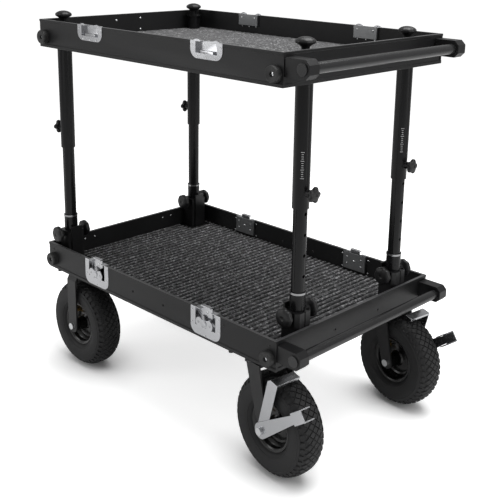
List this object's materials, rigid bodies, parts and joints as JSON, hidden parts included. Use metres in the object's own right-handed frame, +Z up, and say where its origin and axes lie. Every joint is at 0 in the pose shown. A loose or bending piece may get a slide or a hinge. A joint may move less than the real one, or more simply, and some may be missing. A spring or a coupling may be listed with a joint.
{
  "type": "camera cart",
  "caption": "Two-deck equipment cart with carpeted trays on telescoping posts, push handles, latches and casters with pneumatic wheels.",
  "frame": {"origin": "on the floor, under the middle of the cart's bounding box, casters as drawn", "axes": "+X along the cart towards the handle end, +Y across, +Z up"},
  "size_m": [1.0574, 0.6286, 1.0313],
  "materials": {
    "black_aluminium": "satin black powder coat on extruded aluminium",
    "ribbed_carpet": "ribbed charcoal carpet with grey flecks",
    "speckled_carpet": "speckled grey looped carpet",
    "deck_board": "black coated plywood board",
    "black_tube": "satin black anodised tube",
    "black_casting": "satin black extruded clamp",
    "zinc_plate": "bright zinc plated pressed steel",
    "handle_tube": "satin black anodised tube",
    "black_plastic": "black moulded plastic, lightly grained",
    "bumper_rubber": "hard black rubber",
    "tyre_rubber": "black rubber with a block tread",
    "black_rim": "gloss black painted steel rim",
    "black_steel": "black powder coated steel"
  },
  "bodies": {
    "lower_cart": {"lower_near_rail": "black_aluminium", "lower_far_rail": "black_aluminium", "lower_end_rails": "black_aluminium", "lower_deck": "deck_board", "lower_carpet": "ribbed_carpet", "post_clamps": "black_casting", "lower_posts": "black_tube", "caster_plates": "black_steel", "latch_dishes": "zinc_plate", "latch_covers": "zinc_plate", "lower_handle_bar": "handle_tube", "lower_handle_brackets": "black_plastic", "lower_bumpers": "bumper_rubber", "caster_fork_near_left": "black_steel", "caster_fork_far_left": "black_steel"},
    "upper_tray": {"upper_near_rail": "black_aluminium", "upper_far_rail": "black_aluminium", "upper_end_rails": "black_aluminium", "upper_deck": "deck_board", "upper_carpet": "speckled_carpet", "upper_posts": "black_tube", "catch_dishes": "zinc_plate", "catch_covers": "zinc_plate", "upper_handle_bar": "handle_tube", "upper_handle_brackets": "black_plastic", "upper_bumpers": "bumper_rubber"},
    "cap_knob_near_right": {"cap_knob_near_right": "black_plastic"},
    "height_lock_near_right": {"height_lock_near_right": "black_plastic"},
    "cross_bolt_near_right": {"cross_bolt_near_right": "black_plastic"},
    "latch_handle_near_right": {"latch_handle_near_right": "zinc_plate"},
    "latch_claw_near_right": {"latch_claw_near_right": "zinc_plate"},
    "wheel_near_right": {"tyre_near_right": "tyre_rubber", "rim_near_right": "black_rim"},
    "caster_near_right": {"caster_fork_near_right": "black_steel"},
    "brake_stirrup_near_right": {"brake_stirrup_near_right": "zinc_plate"},
    "brake_lever_near_right": {"brake_lever_near_right": "zinc_plate"},
    "cap_knob_far_right": {"cap_knob_far_right": "black_plastic"},
    "height_lock_far_right": {"height_lock_far_right": "black_plastic"},
    "cross_bolt_far_right": {"cross_bolt_far_right": "black_plastic"},
    "latch_handle_far_right": {"latch_handle_far_right": "zinc_plate"},
    "latch_claw_far_right": {"latch_claw_far_right": "zinc_plate"},
    "wheel_far_right": {"tyre_far_right": "tyre_rubber", "rim_far_right": "black_rim"},
    "caster_far_right": {"caster_fork_far_right": "black_steel"},
    "brake_stirrup_far_right": {"brake_stirrup_far_right": "zinc_plate"},
    "brake_lever_far_right": {"brake_lever_far_right": "zinc_plate"},
    "cap_knob_near_left": {"cap_knob_near_left": "black_plastic"},
    "height_lock_near_left": {"height_lock_near_left": "black_plastic"},
    "cross_bolt_near_left": {"cross_bolt_near_left": "black_plastic"},
    "latch_handle_near_left": {"latch_handle_near_left": "zinc_plate"},
    "latch_claw_near_left": {"latch_claw_near_left": "zinc_plate"},
    "wheel_near_left": {"tyre_near_left": "tyre_rubber", "rim_near_left": "black_rim"},
    "cap_knob_far_left": {"cap_knob_far_left": "black_plastic"},
    "height_lock_far_left": {"height_lock_far_left": "black_plastic"},
    "cross_bolt_far_left": {"cross_bolt_far_left": "black_plastic"},
    "latch_handle_far_left": {"latch_handle_far_left": "zinc_plate"},
    "latch_claw_far_left": {"latch_claw_far_left": "zinc_plate"},
    "wheel_far_left": {"tyre_far_left": "tyre_rubber", "rim_far_left": "black_rim"}
  },
  "joints": [
    {"name": "tray_height", "type": "slide", "parent": "lower_cart", "child": "upper_tray", "axis": [0, 0, 1], "range_m": [-0.15, 0.1]},
    {"name": "cap_knob_turn_near_right", "type": "hinge", "parent": "upper_tray", "child": "cap_knob_near_right", "pos_m": [0.37233, -0.18519, 1.006], "axis": [0, 0, 1], "range_deg": [0, 720]},
    {"name": "height_lock_turn_near_right", "type": "hinge", "parent": "upper_tray", "child": "height_lock_near_right", "pos_m": [0.40133, -0.18519, 0.683], "axis": [1, 0, 0], "range_deg": [0, 720]},
    {"name": "cross_bolt_turn_near_right", "type": "hinge", "parent": "lower_cart", "child": "cross_bolt_near_right", "pos_m": [0.37233, -0.18519, 0.389], "axis": [0, -1, 0], "range_deg": [0, 720]},
    {"name": "latch_turn_near_right", "type": "hinge", "parent": "lower_cart", "child": "latch_handle_near_right", "pos_m": [0.17233, -0.28819, 0.327], "axis": [0, -1, 0], "range_deg": [0, 180]},
    {"name": "claw_draw_near_right", "type": "slide", "parent": "lower_cart", "child": "latch_claw_near_right", "axis": [0, 0, -1], "range_m": [0, 0.008]},
    {"name": "swivel_near_right", "type": "hinge", "parent": "lower_cart", "child": "caster_near_right", "pos_m": [0.33533, -0.23919, 0.286], "axis": [0, 0, 1], "continuous": true},
    {"name": "wheel_spin_near_right", "type": "hinge", "parent": "caster_near_right", "child": "wheel_near_right", "pos_m": [0.37717, -0.24285, 0.127], "axis": [0.0872, 0.9962, 0], "continuous": true},
    {"name": "brake_press_near_right", "type": "hinge", "parent": "caster_near_right", "child": "brake_lever_near_right", "pos_m": [0.37717, -0.24285, 0.127], "axis": [0.0872, 0.9962, 0], "range_deg": [0, 30]},
    {"name": "stirrup_draw_near_right", "type": "slide", "parent": "caster_near_right", "child": "brake_stirrup_near_right", "axis": [-0.241, 0.0211, -0.9703], "range_m": [0, 0.007]},
    {"name": "cap_knob_turn_far_right", "type": "hinge", "parent": "upper_tray", "child": "cap_knob_far_right", "pos_m": [0.37233, 0.19281, 1.006], "axis": [0, 0, 1], "range_deg": [0, 720]},
    {"name": "height_lock_turn_far_right", "type": "hinge", "parent": "upper_tray", "child": "height_lock_far_right", "pos_m": [0.40133, 0.19281, 0.683], "axis": [1, 0, 0], "range_deg": [0, 720]},
    {"name": "cross_bolt_turn_far_right", "type": "hinge", "parent": "lower_cart", "child": "cross_bolt_far_right", "pos_m": [0.37233, 0.19281, 0.389], "axis": [0, 1, 0], "range_deg": [0, 720]},
    {"name": "latch_turn_far_right", "type": "hinge", "parent": "lower_cart", "child": "latch_handle_far_right", "pos_m": [0.17233, 0.29581, 0.327], "axis": [0, 1, 0], "range_deg": [0, 180]},
    {"name": "claw_draw_far_right", "type": "slide", "parent": "lower_cart", "child": "latch_claw_far_right", "axis": [0, 0, -1], "range_m": [0, 0.008]},
    {"name": "swivel_far_right", "type": "hinge", "parent": "lower_cart", "child": "caster_far_right", "pos_m": [0.33533, 0.24681, 0.286], "axis": [0, 0, 1], "continuous": true},
    {"name": "wheel_spin_far_right", "type": "hinge", "parent": "caster_far_right", "child": "wheel_far_right", "pos_m": [0.37702, 0.24169, 0.127], "axis": [0.1219, 0.9925, 0], "continuous": true},
    {"name": "brake_press_far_right", "type": "hinge", "parent": "caster_far_right", "child": "brake_lever_far_right", "pos_m": [0.37702, 0.24169, 0.127], "axis": [0.1219, 0.9925, 0], "range_deg": [0, 30]},
    {"name": "stirrup_draw_far_right", "type": "slide", "parent": "caster_far_right", "child": "brake_stirrup_far_right", "axis": [-0.2401, 0.0295, -0.9703], "range_m": [0, 0.007]},
    {"name": "cap_knob_turn_near_left", "type": "hinge", "parent": "upper_tray", "child": "cap_knob_near_left", "pos_m": [-0.47167, -0.23719, 1.006], "axis": [0, 0, 1], "range_deg": [0, 720]},
    {"name": "height_lock_turn_near_left", "type": "hinge", "parent": "upper_tray", "child": "height_lock_near_left", "pos_m": [-0.50067, -0.23719, 0.699], "axis": [-1, 0, 0], "range_deg": [0, 720]},
    {"name": "cross_bolt_turn_near_left", "type": "hinge", "parent": "lower_cart", "child": "cross_bolt_near_left", "pos_m": [-0.47167, -0.23719, 0.389], "axis": [0, -1, 0], "range_deg": [0, 720]},
    {"name": "latch_turn_near_left", "type": "hinge", "parent": "lower_cart", "child": "latch_handle_near_left", "pos_m": [-0.27167, -0.28819, 0.327], "axis": [0, -1, 0], "range_deg": [0, 180]},
    {"name": "claw_draw_near_left", "type": "slide", "parent": "lower_cart", "child": "latch_claw_near_left", "axis": [0, 0, -1], "range_m": [0, 0.008]},
    {"name": "wheel_spin_near_left", "type": "hinge", "parent": "lower_cart", "child": "wheel_near_left", "pos_m": [-0.40167, -0.23919, 0.127], "axis": [0, 1, 0], "continuous": true},
    {"name": "cap_knob_turn_far_left", "type": "hinge", "parent": "upper_tray", "child": "cap_knob_far_left", "pos_m": [-0.47167, 0.24481, 1.006], "axis": [0, 0, 1], "range_deg": [0, 720]},
    {"name": "height_lock_turn_far_left", "type": "hinge", "parent": "upper_tray", "child": "height_lock_far_left", "pos_m": [-0.50067, 0.24481, 0.699], "axis": [-1, 0, 0], "range_deg": [0, 720]},
    {"name": "cross_bolt_turn_far_left", "type": "hinge", "parent": "lower_cart", "child": "cross_bolt_far_left", "pos_m": [-0.47167, 0.24481, 0.389], "axis": [0, 1, 0], "range_deg": [0, 720]},
    {"name": "latch_turn_far_left", "type": "hinge", "parent": "lower_cart", "child": "latch_handle_far_left", "pos_m": [-0.27167, 0.29581, 0.327], "axis": [0, 1, 0], "range_deg": [0, 180]},
    {"name": "claw_draw_far_left", "type": "slide", "parent": "lower_cart", "child": "latch_claw_far_left", "axis": [0, 0, -1], "range_m": [0, 0.008]},
    {"name": "wheel_spin_far_left", "type": "hinge", "parent": "lower_cart", "child": "wheel_far_left", "pos_m": [-0.40167, 0.24681, 0.127], "axis": [0, 1, 0], "continuous": true}
  ],
  "couplings": [
    {"joint": "claw_draw_near_right", "follows": "latch_turn_near_right", "m_per_rad": 0.0025465},
    {"joint": "stirrup_draw_near_right", "follows": "brake_press_near_right", "m_per_rad": 0.013369},
    {"joint": "claw_draw_far_right", "follows": "latch_turn_far_right", "m_per_rad": 0.0025465},
    {"joint": "stirrup_draw_far_right", "follows": "brake_press_far_right", "m_per_rad": 0.013369},
    {"joint": "claw_draw_near_left", "follows": "latch_turn_near_left", "m_per_rad": 0.0025465},
    {"joint": "claw_draw_far_left", "follows": "latch_turn_far_left", "m_per_rad": 0.0025465}
  ]
}
